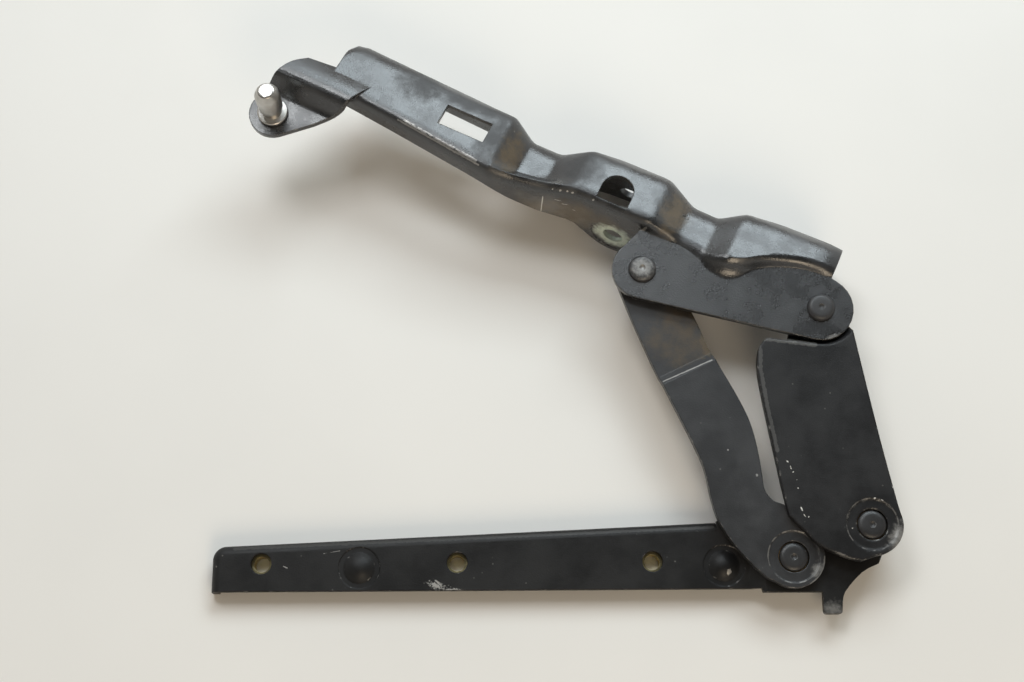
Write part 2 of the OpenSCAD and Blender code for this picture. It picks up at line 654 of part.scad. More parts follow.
module stay_stud() {
    waist_r = waist_d / 2;
    collar_r = collar_d / 2;
    head_r = stud_d / 2;
    edge = 0.4;
    tail_lip = 1.6;
    tail_r = waist_r + tail_lip;
    tail_h = 1.8;
    collar_top = arm_t + collar_h;
    head_low = collar_top + waist_len;
    head_taper = 1;
    tip_knee = [0.35, 0.55];
    tip = arm_t + stud_len;
    color("#c9c6bb")
        along_arm()
            translate([-stud_u, stud_v, arm_z])
                rotate_extrude()
                    polygon([[0, -tail_h], [tail_r - edge, -tail_h], [tail_r, edge - tail_h], [tail_r, 0],
                        [waist_r, 0], [waist_r, arm_t], [collar_r - edge, arm_t], [collar_r, arm_t + edge],
                        [collar_r, collar_top - edge], [collar_r - edge, collar_top],
                        [waist_r, collar_top + edge], [waist_r, head_low - head_taper],
                        [head_r - edge, head_low], [head_r, head_low + edge], [head_r, tip - tip_len],
                        [mix(head_r, tip_d / 2, tip_knee[0]), tip - tip_len * tip_knee[1]],
                        [tip_d / 2 + edge, tip - edge], [tip_d / 2 - edge, tip], [0, tip]]);
}

// A rivet from its formed tail to its head, as one turned piece
module rivet(tail_z, head_z, head_h) {
    tail_r = tail_head_d / 2;
    shank_r = shank_d / 2;
    head_r = head_d / 2;
    tail_low = tail_z - tail_head_h;
    head_top = head_z + head_h;
    tail_edge = 1;
    // The head's rounded edge as [distance inside its rim, share of its height], and its small dimple
    crown = [[0, 0], [0, 0.4], [0.5, 0.72], [1.6, 0.95], [3, 1]];
    dimple = [[1.4, 0], [0.7, 0.5], [0, 0.6]];
    color("#202224")
        rotate_extrude()
            polygon(concat([[0, tail_low], [tail_r - tail_edge, tail_low], [tail_r, tail_low + tail_edge],
                [tail_r, tail_z], [shank_r, tail_z], [shank_r, head_z]],
                [for (c = crown) [head_r - c[0], head_z + head_h * c[1]]],
                [for (c = dimple) [c[0], head_top - c[1]]]));
}

module front_lower_rivet()
    translate(front_low) rivet(plate_z, front_top - dish_depth + face_gap, sunk_head_h);

module rear_lower_rivet()
    translate(rear_low) rivet(plate_z, rear_top - dish_depth + face_gap, sunk_head_h);

module front_upper_rivet()
    translate(front_up) rivet(upper_z - face_gap, arm_top, raised_head_h);

module rear_upper_rivet()
    translate(rear_up) rivet(upper_z - face_gap, arm_top, raised_head_h);

module ring(outer_d, inner_d, height) {
    difference() {
        cylinder(d = outer_d, h = height);
        translate([0, 0, -1]) cylinder(d = inner_d, h = height + 2);
    }
}

module bush(p, z, height, gap) {
    color("#a8803c")
        translate([p[0], p[1], z]) ring(bush_d, shank_d + 2 * gap, height);
}

module front_lower_bush() bush(front_low, front_z, link_t - dish_depth, run_gap);
module rear_lower_bush() bush(rear_low, rear_z, link_t - dish_depth, run_gap);
module front_upper_bush() bush(front_up, upper_z, link_t, seat_gap);
module rear_upper_bush() bush(rear_up, upper_z, link_t, run_gap);

module thrust_washer(p, z, height) {
    color("#77797c")
        translate([p[0], p[1], z]) ring(washer_d, shank_d + 2 * seat_gap, height);
}

module front_lower_washer() thrust_washer(front_low, plate_top, washer_t);
module rear_lower_spacer() thrust_washer(rear_low, plate_top, rear_z - face_gap - plate_top);
module front_upper_washer() thrust_washer(front_up, upper_top + face_gap, arm_z - upper_top - face_gap);
module rear_upper_washer() thrust_washer(rear_up, upper_top + face_gap, arm_z - upper_top - face_gap);

body_bracket();
left_weld_nut();
middle_weld_nut();
right_weld_nut();
front_link();
rear_link();
bonnet_arm();
stay_stud();
front_lower_rivet();
rear_lower_rivet();
front_upper_rivet();
rear_upper_rivet();
front_lower_bush();
rear_lower_bush();
front_upper_bush();
rear_upper_bush();
front_lower_washer();
rear_lower_spacer();
front_upper_washer();
rear_upper_washer();
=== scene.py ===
from math import radians

import bmesh
import bpy
from bpy.props import FloatProperty, FloatVectorProperty, PointerProperty
from mathutils import Euler, Matrix, Vector

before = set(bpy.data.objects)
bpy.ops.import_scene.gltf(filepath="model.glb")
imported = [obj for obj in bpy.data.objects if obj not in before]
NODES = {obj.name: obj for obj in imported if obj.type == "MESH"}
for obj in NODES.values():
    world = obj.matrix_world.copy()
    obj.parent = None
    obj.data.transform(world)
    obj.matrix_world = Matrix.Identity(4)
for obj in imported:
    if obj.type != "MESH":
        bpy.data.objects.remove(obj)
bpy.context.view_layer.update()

bl_info = {
    "name": "Bonnet hinge",
    "version": (1, 0, 0),
    "blender": (4, 5, 0),
    "location": "View3D > Sidebar > Bonnet hinge",
    "description": "Finishes, wear and studio stage for a riveted car bonnet hinge",
    "category": "Object",
}

MM = 0.001

WELD_NUTS = ("left_weld_nut", "middle_weld_nut", "right_weld_nut")
RIVETS = ("front_lower_rivet", "rear_lower_rivet", "front_upper_rivet", "rear_upper_rivet")
RUBBED_RIVET = "front_upper_rivet"
BUSHES = ("front_lower_bush", "rear_lower_bush", "front_upper_bush", "rear_upper_bush")
WASHERS = ("front_lower_washer", "rear_lower_spacer", "front_upper_washer", "rear_upper_washer")

# Marks are placed in millimetres.
# The bonnet arm's are measured along and across its flange from the front upper pivot.
ARM_START = (83.286, 129.719)
ARM_TURN = radians(-25.389)

# Lower pivots, and the radius of the rings rubbed round them
FRONT_LOWER_PIVOT = (145, 0.5)
REAR_LOWER_PIVOT = (178.7, 13.6)
RING_RADIUS = 11.2

# Worn rim at the front link's lower end
WORN_END = ((158.3, 0.5), (157.6, -4.0), (155.2, -8.2), (151.4, -11.2))

# Chips on the rear link: place, half width, half height and turn in degrees
CHIP_HEIGHT = 16.5
CHIPS = (
    (143.6, 41.2, 0.7, 0.3, -40), (144.9, 38.6, 0.3, 0.8, 12), (145.8, 36.6, 0.5, 0.25, 30),
    (147.5, 29.5, 0.35, 0.3, 0), (147.2, 33.1, 0.2, 0.25, 0), (148.5, 20.6, 0.35, 1.2, 18),
    (149.6, 17.6, 0.25, 0.7, 30), (151.3, 16.9, 0.5, 0.2, 50), (180.4, 24.9, 0.9, 0.35, 10),
    (183.6, 24.0, 0.7, 0.25, -25), (188.6, 29.6, 0.2, 0.5, 10), (170.1, 12.0, 0.35, 0.3, 0))

# Painted highlight along the rear link's rolled edge
ROLLED_EDGE_HIGHLIGHT = ((133.5, 96.8), (134.6, 91.5), (134.2, 82.5), (136.2, 66.0), (139.5, 46.0))

# Bright specks on the arm's near fold: place along and across the arm
SPECK_HEIGHT = 21
SPECKS = ((-52, 16.4), (-48.5, 17.2), (-45.4, 18.0), (-43, 18.4), (-33, 19.2))

# Scuffs on the arm's wall: place along the arm, height and half length
WALL_ACROSS = 12.6
SCUFFS = ((-48.6, 12.4, 2.0), (-44.8, 9.8, 2.6), (-40.8, 6.4, 1.5))

# Dull ends of the arm's pads: place along and across the arm, and half sizes
PAD_HEIGHT = 17
DULL_ENDS = ((-86, 27, 12, 28), (-128, 39, 18, 13), (-104, 39.5, 32, 7.5), (-44, 32, 13, 22))

# Painted reflection along the rolls of the arm's far edge: place along and across the arm, and half
# length
ROLL_REFLECTION_HEIGHT = 13
ROLL_REFLECTIONS = ((-108, 44.2, 30), (-25, 44.8, 27), (52, 46.8, 32))

# Colours of the small marks; the pale one also paints highlights and reflections
SPECK_COLOUR = (0.22, 0.215, 0.20, 1)
PALE_MARK_AND_HIGHLIGHT_COLOUR = (0.62, 0.61, 0.58, 1)
DULL_ZINC = (0.46, 0.45, 0.42, 1)
DULL_YELLOW = (0.42, 0.33, 0.16, 1)
DULL_BRONZE = (0.20, 0.13, 0.06, 1)
DULL_WASHER = (0.14, 0.125, 0.10, 1)

# How rough the marks are
BROWN_REFLECTION_AND_FILM_ROUGH = 0.5
BARE_ROUGH = 0.4
PALE_MARK_AND_HIGHLIGHT_ROUGH = 0.7
PRIMER_ROUGH = 0.6
DULL_ROUGH = 0.68
RIVET_ROUGH = (0.34, 0.5)

# How strongly dust specks and rubbed edges show in the black coat
SPECK_STRENGTH = 0.55
EDGE_STRENGTH = 0.75
PEEL_DEPTH = 0.2 * MM

# Drawn lines of the plated pieces, closer round them than along the pivots
DRAWN_LINES = (400.0, 400.0, 60.0)
PLATE_DEPTH = 0.3 * MM
THREAD_PITCH = 1.25 * MM

# Shading of the solids
SAME_POINT = 0.002 * MM
SHARP_ANGLE = radians(32)
FLAT_WEIGHT = 70

# The hinge lies on its weld nuts and on the bonnet flange, so the floor falls away behind the bar
FLOOR_MOVE = (0, -0.0055, -0.00655)
FLOOR_LEAN = radians(-6.53)
FLOOR_HALF = 4
WEAVE_DEPTH = 0.3 * MM

# Where the floor begins to be evenly pale, and where it is so all over, from the hinge's middle
HINGE_MIDDLE = (0.05, 0.12, 0.0)
FAR_FLOOR = (0.32, 0.85)

# The world's light, by the height of its direction
WORLD_COLOUR = (1.0, 0.94, 0.84, 1)
HORIZON, ZENITH = 0.05, 0.75
# The pale part of the world: its upper rim, and how far that rises behind the hinge
PALE_RIM = (0.12, 0.35)
BEHIND = (0.2, 0.8)
RIM_LIFT = 0.3

# Lamps: name, place, aim, size, the stage's setting for the power, and colour
LAMPS = (
    ("Key", (0.34, 0.98, 0.76), (0.08, 0.12, 0.0), (0.9, 0.5),
     "key_power", (0.83, 0.94, 1.0)),
    ("Fill", (-0.22, 0.56, 0.84), (-0.02, 0.12, 0.0), (0.35, 0.35),
     "fill_power", (0.95, 0.98, 1.0)),
    ("Plates", (0.16, 0.40, 0.84), (0.10, 0.12, 0.0), (0.18, 0.16),
     "plate_power", (0.88, 0.95, 1.0)),
    ("Front", (0.24, -0.75, 0.80), (0.08, 0.08, 0.0), (0.5, 0.5),
     "front_power", (1.0, 0.83, 0.62)))

CAMERA_PLACE = (0.0166, -0.0851, 0.6560)
CAMERA_TURN = (radians(15.82), radians(-0.58), radians(-0.42))
SENSOR_WIDTH = 36
CLIP_START = 0.01

# The Mix node's sockets for colours
MIX_A, MIX_B, MIX_RESULT = 6, 7, 2


class HingeFinish(bpy.types.PropertyGroup):
    """Colours and wear of the hinge's finishes"""

    bracket_colour: FloatVectorProperty(
        name="Bracket coat", description="Colour of the body bracket's black coat",
        subtype="COLOR", size=4, min=0, max=1, default=(0.008, 0.008, 0.0082, 1))
    front_link_colour: FloatVectorProperty(
        name="Front link coat", description="Colour of the front link's black coat",
        subtype="COLOR", size=4, min=0, max=1, default=(0.019, 0.0195, 0.021, 1))
    rear_link_colour: FloatVectorProperty(
        name="Rear link coat", description="Colour of the rear link's black coat",
        subtype="COLOR", size=4, min=0, max=1, default=(0.0095, 0.0095, 0.0102, 1))
    arm_colour: FloatVectorProperty(
        name="Arm coat", description="Colour of the bonnet arm's black coat",
        subtype="COLOR", size=4, min=0, max=1, default=(0.011, 0.0115, 0.0125, 1))
    rivet_colour: FloatVectorProperty(
        name="Rivet coat", description="Colour of the rivets' black coat",
        subtype="COLOR", size=4, min=0, max=1, default=(0.020, 0.020, 0.021, 1))
    # Brown painted into the coats as the reflection of the warm cloth, and as a film on the arm's
    # wall
    reflection_and_film_colour: FloatVectorProperty(
        name="Brown reflection and film", description="Colour painted brown where the coat mirrors the warm cloth, and of a brown film on the arm's wall",
        subtype="COLOR", size=4, min=0, max=1, default=(0.088, 0.060, 0.026, 1))
    bare_colour: FloatVectorProperty(
        name="Bare steel", description="Colour of the steel where the coat is worn off",
        subtype="COLOR", size=4, min=0, max=1, default=(0.40, 0.39, 0.37, 1))
    primer_colour: FloatVectorProperty(
        name="Primer", description="Colour of the pale primer on the ear's washer seat",
        subtype="COLOR", size=4, min=0, max=1, default=(0.58, 0.64, 0.53, 1))
    zinc_colour: FloatVectorProperty(
        name="Bright zinc", description="Colour of the stay stud's zinc plate",
        subtype="COLOR", size=4, min=0, max=1, default=(0.52, 0.50, 0.47, 1))
    yellow_colour: FloatVectorProperty(
        name="Yellow zinc", description="Colour of the weld nuts' yellow zinc plate",
        subtype="COLOR", size=4, min=0, max=1, default=(0.90, 0.78, 0.44, 1))
    bronze_colour: FloatVectorProperty(
        name="Bearing bronze", description="Colour of the pivots' bushes",
        subtype="COLOR", size=4, min=0, max=1, default=(0.48, 0.31, 0.13, 1))
    washer_colour: FloatVectorProperty(
        name="Washer steel", description="Colour of the pivots' washers",
        subtype="COLOR", size=4, min=0, max=1, default=(0.36, 0.35, 0.33, 1))
    edge_radius: FloatProperty(
        name="Edge radius", description="Rounding of the sheets' edges, as the light shows it",
        subtype="DISTANCE", unit="LENGTH", min=0, max=0.002, default=0.0007)


class HingeStage(bpy.types.PropertyGroup):
    """Floor, light and camera"""

    floor_colour: FloatVectorProperty(
        name="Floor", description="Colour of the pale floor",
        subtype="COLOR", size=4, min=0, max=1, default=(0.82, 0.80, 0.765, 1))
    key_power: FloatProperty(
        name="Key light", description="Power of the large soft light behind the hinge",
        unit="POWER", min=0, max=200, default=9.0)
    fill_power: FloatProperty(
        name="Fill light", description="Power of the soft light above the stay stud",
        unit="POWER", min=0, max=200, default=3.2)
    plate_power: FloatProperty(
        name="Plate light", description="Power of the small soft light that the flat plates mirror",
        unit="POWER", min=0, max=200, default=0.3)
    front_power: FloatProperty(
        name="Front light", description="Power of the warm light in front of the hinge",
        unit="POWER", min=0, max=200, default=4.0)
    horizon_strength: FloatProperty(
        name="Horizon", description="Strength of the even light from low down all round",
        min=0, max=2, default=0.66)
    zenith_strength: FloatProperty(
        name="Zenith", description="Strength of the even light from above",
        min=0, max=2, default=0.11)
    lens: FloatProperty(
        name="Lens", description="Focal length of the camera in millimetres",
        min=20, max=200, default=52.73)


def put(tree, kind, values=None, **settings):
    """A new node with its settings and its input values or links."""
    made = tree.nodes.new(kind)
    for key, value in settings.items():
        setattr(made, key, value)
    for key, value in (values or {}).items():
        socket = made.inputs[key]
        if isinstance(value, bpy.types.NodeSocket):
            tree.links.new(value, socket)
        else:
            socket.default_value = value
    return made


def math(tree, operation, a, b=0.0, clamp=False):
    """A number worked out from two others."""
    return put(tree, "ShaderNodeMath", {0: a, 1: b},
               operation=operation, use_clamp=clamp).outputs[0]


def vector(tree, operation, a, b):
    """A vector worked out from two others."""
    return put(tree, "ShaderNodeVectorMath", {0: a, 1: b}, operation=operation).outputs["Vector"]


def measure(tree, operation, a, b=(0, 0, 0)):
    """A number worked out from one or two vectors."""
    return put(tree, "ShaderNodeVectorMath", {0: a, 1: b}, operation=operation).outputs["Value"]


def ramp(tree, value, low, high):
    """0 below low, 1 above high and a smooth rise between."""
    return put(tree, "ShaderNodeMapRange",
               {"Value": value, "From Min": low, "From Max": high},
               interpolation_type="SMOOTHSTEP").outputs["Result"]


def mix_colour(tree, factor, a, b):
    """Colour a where the factor is 0, and b where it is 1."""
    return put(tree, "ShaderNodeMix", {"Factor": factor, MIX_A: a, MIX_B: b},
               data_type="RGBA").outputs[MIX_RESULT]


def mix_value(tree, factor, a, b):
    """Value a where the factor is 0, and b where it is 1."""
    return put(tree, "ShaderNodeMix", {"Factor": factor, "A": a, "B": b}).outputs["Result"]


def faded(tree, mask, strength):
    """A mask at part of its strength."""
    return mask if strength == 1.0 else math(tree, "MULTIPLY", mask, strength)


def most(tree, masks):
    """The strongest of several masks."""
    strongest = masks[0]
    for mask in masks[1:]:
        strongest = math(tree, "MAXIMUM", strongest, mask)
    return strongest


def place(tree):
    """A point's place on its piece."""
    return tree.nodes.new("ShaderNodeTexCoord").outputs["Object"]


def plan_place(tree):
    """A point's place as seen along the pivots, without its depth."""
    return vector(tree, "MULTIPLY", place(tree), (1, 1, 0))


def noise(tree, where, scale, detail=3.0, roughness=0.55):
    """Cloudy noise between 0 and 1."""
    return put(tree, "ShaderNodeTexNoise",
               {"Vector": where, "Scale": scale, "Detail": detail,
                "Roughness": roughness}).outputs["Fac"]


def tinted(colour, times, more=0.0):
    """A darker or lighter colour of the same hue."""
    return tuple(min(1.0, c * times + more) for c in colour[:3]) + (1,)


def group(name, inputs, outputs):
    """An empty shader node group with its sockets, and its two end nodes."""
    tree = bpy.data.node_groups.new(name, "ShaderNodeTree")
    for label, kind, default in inputs:
        socket = tree.interface.new_socket(name=label, in_out="INPUT", socket_type=kind)
        socket.default_value = default
    for label in outputs:
        kind = "NodeSocketVector" if label == "Normal" else "NodeSocketFloat"
        tree.interface.new_socket(name=label, in_out="OUTPUT", socket_type=kind)
    given = tree.nodes.new("NodeGroupInput").outputs
    result = tree.nodes.new("NodeGroupOutput").inputs
    return tree, given, result


def make_coat_grain():
    """Fine orange peel, dull cloudy patches and specks of dust in a satin coat."""
    tree, given, result = group(
        "Coat grain",
        [("Peel", "NodeSocketFloat", 1500.0), ("Cloud", "NodeSocketFloat", 45.0)],
        ["Peel", "Cloud", "Specks"])
    where = place(tree)
    peel = noise(tree, where, given["Peel"], 2.0, 0.6)
    cloud = noise(tree, where, given["Cloud"], 5.0, 0.62)
    cell = put(tree, "ShaderNodeTexVoronoi",
               {"Vector": where, "Scale": 260.0}).outputs["Distance"]
    spread = noise(tree, where, 90.0, 2.0)
    dots = math(tree, "MULTIPLY", ramp(tree, cell, 0.14, 0.05), ramp(tree, spread, 0.58, 0.72))
    tree.links.new(peel, result["Peel"])
    tree.links.new(ramp(tree, cloud, 0.32, 0.7), result["Cloud"])
    tree.links.new(dots, result["Specks"])
    return tree


def make_edge_wear():
    """Edges, where the rounded and the true normal differ, broken up along their length."""
    tree, given, result = group(
        "Edge wear",
        [("Radius", "NodeSocketFloat", 0.0007), ("Breakup", "NodeSocketFloat", 260.0),
         ("Amount", "NodeSocketFloat", 0.5)],
        ["Wear", "Normal"])
    rounded = put(tree, "ShaderNodeBevel", {"Radius": given["Radius"]},
                  samples=6).outputs["Normal"]
    flat = tree.nodes.new("ShaderNodeNewGeometry").outputs["Normal"]
    edge = ramp(tree, measure(tree, "DOT_PRODUCT", rounded, flat), 0.985, 0.86)
    eased = math(tree, "MULTIPLY", given["Amount"], 0.5)
    patchy = ramp(tree, noise(tree, place(tree), given["Breakup"], 4.0, 0.65),
                  math(tree, "SUBTRACT", 0.78, eased), math(tree, "SUBTRACT", 0.92, eased))
    tree.links.new(math(tree, "MULTIPLY", edge, patchy), result["Wear"])
    tree.links.new(rounded, result["Normal"])
    return tree


def make_worn_spot():
    """A ragged patch round a point, with a reach along each axis, turned about the pivots."""
    tree, given, result = group(
        "Worn spot",
        [("Centre", "NodeSocketVector", (0, 0, 0)),
         ("Reach", "NodeSocketVector", (0.002, 0.002, 0.01)),
         ("Turn", "NodeSocketFloat", 0.0), ("Ragged", "NodeSocketFloat", 0.5),
         ("Grain", "NodeSocketFloat", 900.0), ("Core", "NodeSocketFloat", 0.72)],
        ["Mask"])
    where = place(tree)
    away = vector(tree, "SUBTRACT", where, given["Centre"])
    turned = put(tree, "ShaderNodeVectorRotate", {"Vector": away, "Angle": given["Turn"]},
                 rotation_type="Z_AXIS", invert=True).outputs[0]
    distance = measure(tree, "LENGTH", vector(tree, "DIVIDE", turned, given["Reach"]))
    grain = math(tree, "SUBTRACT", noise(tree, where, given["Grain"], 4.0, 0.7), 0.5)
    rough = math(tree, "MULTIPLY", math(tree, "MULTIPLY", grain, given["Ragged"]), 3.0)
    tree.links.new(ramp(tree, math(tree, "ADD", distance, rough), 1.0, given["Core"]),
                   result["Mask"])
    return tree


def make_scratch():
    """A scratch between two points, seen along the pivots, thick and thin along its way."""
    tree, given, result = group(
        "Scratch",
        [("From", "NodeSocketVector", (0, 0, 0)), ("To", "NodeSocketVector", (0.01, 0, 0)),
         ("Width", "NodeSocketFloat", 0.0003), ("Gaps", "NodeSocketFloat", 0.0)],
        ["Mask"])
    where = plan_place(tree)
    run = vector(tree, "SUBTRACT", given["To"], given["From"])
    away = vector(tree, "SUBTRACT", where, given["From"])
    share = math(tree, "DIVIDE", measure(tree, "DOT_PRODUCT", away, run),
                 measure(tree, "DOT_PRODUCT", run, run), clamp=True)
    foot = put(tree, "ShaderNodeVectorMath", {0: run, "Scale": share},
               operation="SCALE").outputs["Vector"]
    gap = measure(tree, "DISTANCE", away, foot)
    wander = math(tree, "MULTIPLY", noise(tree, where, 700.0), 1.8)
    width = math(tree, "MULTIPLY", given["Width"], wander)
    line = ramp(tree, math(tree, "DIVIDE", gap, width), 1.0, 0.6)
    breaks = math(tree, "SUBTRACT", noise(tree, where, 420.0, 4.0, 0.7), given["Gaps"])
    whole = ramp(tree, breaks, 0.0, 0.08)
    tree.links.new(math(tree, "MULTIPLY", line, whole), result["Mask"])
    return tree


def make_rubbed_ring():
    """A thin broken ring round a pivot where the coat is rubbed, seen along the pivots."""
    tree, given, result = group(
        "Rubbed ring",
        [("Centre", "NodeSocketVector", (0, 0, 0)), ("Radius", "NodeSocketFloat", 0.011),
         ("Width", "NodeSocketFloat", 0.0003)],
        ["Mask"])
    where = plan_place(tree)
    gap = measure(tree, "DISTANCE", where, given["Centre"])
    off = math(tree, "ABSOLUTE", math(tree, "SUBTRACT", gap, given["Radius"]))
    line = ramp(tree, math(tree, "DIVIDE", off, given["Width"]), 1.0, 0.4)
    patchy = ramp(tree, noise(tree, where, 300.0), 0.42, 0.62)
    tree.links.new(math(tree, "MULTIPLY", line, patchy), result["Mask"])
    return tree


MAKERS = {"Coat grain": make_coat_grain, "Edge wear": make_edge_wear,
          "Worn spot": make_worn_spot, "Scratch": make_scratch, "Rubbed ring": make_rubbed_ring}
EFFECTS = {}


def effect(tree, name, values):
    """One of the shared effects, placed in a material with its own values."""
    if name not in EFFECTS:
        EFFECTS[name] = MAKERS[name]()
    return put(tree, "ShaderNodeGroup", values, node_tree=EFFECTS[name]).outputs


def blank(name):
    """A new material, its nodes and its shader."""
    material = bpy.data.materials.new(name)
    material.use_nodes = True
    tree = material.node_tree
    return material, tree, tree.nodes["Principled BSDF"]


def millimetres(point):
    """A point given in millimetres, in Blender's metres."""
    return tuple(c * MM for c in point)


def spot(tree, centre, reach, ragged=0.5, grain=900.0, turn=0.0, core=0.72, strength=1.0):
    """A worn spot, given in millimetres."""
    mask = effect(tree, "Worn spot", {
        "Centre": millimetres(centre), "Reach": millimetres(reach), "Turn": turn,
        "Ragged": ragged, "Grain": grain, "Core": core})["Mask"]
    return faded(tree, mask, strength)


def scratch(tree, start, end, width, gaps=0.0, strength=1.0):
    """A scratch from one place to another as seen along the pivots, given in millimetres."""
    mask = effect(tree, "Scratch", {
        "From": millimetres((*start, 0)), "To": millimetres((*end, 0)),
        "Width": width * MM, "Gaps": gaps})["Mask"]
    return faded(tree, mask, strength)


def scratches(tree, points, width, gaps=0.0, strength=1.0):
    """Scratches that follow one another through several places."""
    return [scratch(tree, start, end, width, gaps, strength)
            for start, end in zip(points, points[1:])]


def rubbed_ring(tree, centre, width, strength):
    """A rubbed ring round a pivot, given in millimetres."""
    mask = effect(tree, "Rubbed ring", {
        "Centre": millimetres((*centre, 0)), "Radius": RING_RADIUS * MM,
        "Width": width * MM})["Mask"]
    return faded(tree, mask, strength)


def on_arm(along, across, z=0.0):
    """A place on the bonnet arm, from its distances along and across the bonnet flange."""
    turned = Matrix.Rotation(ARM_TURN, 3, "Z") @ Vector((along, across, z))
    return (turned.x + ARM_START[0], turned.y + ARM_START[1], z)


def arm_spot(tree, centre, reach, ragged, grain=900.0, core=0.72, strength=1.0):
    """A worn spot that is turned with the bonnet arm."""
    return spot(tree, on_arm(*centre), reach, ragged, grain, ARM_TURN, core, strength)


def arm_scratch(tree, start, end, width, gaps, strength=1.0):
    """A scratch on the bonnet arm."""
    return scratch(tree, on_arm(*start)[:2], on_arm(*end)[:2], width, gaps, strength)


def black_coat(name, colour, wear=0.5, peel=1500.0, cloud=45.0, brown_reflection_and_film=None, bare=None,
               pale=None, primer=None, dull=None, rough=(0.36, 0.52), shine=0.5, rounding=1.0,
               pebble=0.3):
    """Satin black coat with orange peel, clouds, specks and rubbed edges.

    Brown reflection and film, bare, pale, primer and dull are functions that make the masks of its
    marks. The brown mask is painted reflection of the warm cloth, on the arm's wall partly a brown
    film, and some pale marks are painted highlights and reflections.
    """
    finish = bpy.context.scene.hinge_finish
    material, tree, shader = blank(name)
    grain = effect(tree, "Coat grain", {"Peel": peel, "Cloud": cloud})
    edges = effect(tree, "Edge wear", {"Radius": finish.edge_radius * rounding, "Amount": wear})
    shader.inputs["Specular IOR Level"].default_value = shine
    base = mix_colour(tree, grain["Cloud"], tuple(colour), tinted(colour, 1.5, 0.004))
    base = mix_colour(tree, faded(tree, grain["Specks"], SPECK_STRENGTH), base, SPECK_COLOUR)
    roughness = mix_value(tree, grain["Cloud"], *rough)
    metal = faded(tree, edges["Wear"], EDGE_STRENGTH)
    # Brown painted reflection of the warm cloth; on the arm's wall partly a brown film
    if brown_reflection_and_film:
        brown_tint = brown_reflection_and_film(tree)
        base = mix_colour(tree, brown_tint, base, tuple(finish.reflection_and_film_colour))
        roughness = mix_value(tree, brown_tint, roughness, BROWN_REFLECTION_AND_FILM_ROUGH)
    if bare:
        metal = math(tree, "MAXIMUM", metal, bare(tree))
    base = mix_colour(tree, metal, base, tuple(finish.bare_colour))
    roughness = mix_value(tree, metal, roughness, BARE_ROUGH)
    # Pale marks: real scrapes, chips and scratches, and painted highlights and reflections
    for marks, mark_colour, mark_rough in ((pale, PALE_MARK_AND_HIGHLIGHT_COLOUR, PALE_MARK_AND_HIGHLIGHT_ROUGH),
                                           (primer, tuple(finish.primer_colour), PRIMER_ROUGH)):
        if marks:
            mask = marks(tree)
            base = mix_colour(tree, mask, base, mark_colour)
            roughness = mix_value(tree, mask, roughness, mark_rough)
            metal = math(tree, "MULTIPLY", metal, math(tree, "SUBTRACT", 1.0, mask))
    if dull:
        roughness = mix_value(tree, dull(tree), roughness, DULL_ROUGH)
    bump = put(tree, "ShaderNodeBump",
               {"Height": grain["Peel"], "Normal": edges["Normal"], "Strength": pebble,
                "Distance": PEEL_DEPTH})
    for socket, value in (("Base Color", base), ("Roughness", roughness), ("Metallic", metal),
                          ("Normal", bump.outputs["Normal"])):
        tree.links.new(value, shader.inputs[socket])
    return material


def plated(name, colour, dull, rough, threads=False):
    """Plated or bare metal with fine drawn lines, dull blooms and, in a nut, its thread drawn with
    bumps and painted shade in its grooves.
    """
    finish = bpy.context.scene.hinge_finish
    material, tree, shader = blank(name)
    where = place(tree)
    lines = noise(tree, vector(tree, "MULTIPLY", where, DRAWN_LINES), 8.0, 4.0, 0.6)
    bloom = ramp(tree, noise(tree, where, 220.0, 4.0, 0.65), 0.4, 0.68)
    edges = effect(tree, "Edge wear", {"Radius": finish.edge_radius * 0.6, "Amount": 0.7})
    base = mix_colour(tree, bloom, tuple(colour), dull)
    base = mix_colour(tree, faded(tree, lines, 0.25), base, tinted(colour, 0.6))
    roughness = mix_value(tree, bloom, *rough)
    height = faded(tree, lines, 0.3)
    if threads:
        depth = put(tree, "ShaderNodeSeparateXYZ", {0: where}).outputs["Z"]
        turn = math(tree, "PINGPONG", math(tree, "DIVIDE", depth, THREAD_PITCH), 0.5)
        height = math(tree, "ADD", height, math(tree, "MULTIPLY", turn, 3.0))
        # Painted shade in the thread's grooves
        base = mix_colour(tree, ramp(tree, turn, 0.2, 0.02), base, tinted(colour, 0.25))
    bump = put(tree, "ShaderNodeBump",
               {"Height": height, "Normal": edges["Normal"], "Strength": 0.25,
                "Distance": PLATE_DEPTH})
    for socket, value in (("Base Color", base), ("Roughness", roughness),
                          ("Normal", bump.outputs["Normal"])):
        tree.links.new(value, shader.inputs[socket])
    shader.inputs["Metallic"].default_value = 1.0
    return material


def soft_edge_nodes():
    """Joins the loose triangles of a solid and shades it smooth up to its sharp edges."""
    name = "Smooth to the edges"
    if name in bpy.data.node_groups:
        return bpy.data.node_groups[name]
    tree = bpy.data.node_groups.new(name, "GeometryNodeTree")
    for end in ("INPUT", "OUTPUT"):
        tree.interface.new_socket(name="Solid", in_out=end, socket_type="NodeSocketGeometry")
    given = tree.nodes.new("NodeGroupInput").outputs[0]
    result = tree.nodes.new("NodeGroupOutput").inputs[0]
    joined = put(tree, "GeometryNodeMergeByDistance",
                 {"Geometry": given, "Distance": SAME_POINT}).outputs[0]
    smooth = put(tree, "GeometryNodeSetShadeSmooth",
                 {"Geometry": joined, "Shade Smooth": True}, domain="FACE").outputs[0]
    angle = tree.nodes.new("GeometryNodeInputMeshEdgeAngle").outputs["Unsigned Angle"]
    sharp = put(tree, "FunctionNodeCompare", {"A": angle, "B": SHARP_ANGLE},
                data_type="FLOAT", operation="GREATER_THAN").outputs[0]
    split = put(tree, "GeometryNodeSetShadeSmooth",
                {"Geometry": smooth, "Selection": sharp, "Shade Smooth": False}, domain="EDGE")
    tree.links.new(split.outputs[0], result)
    return tree


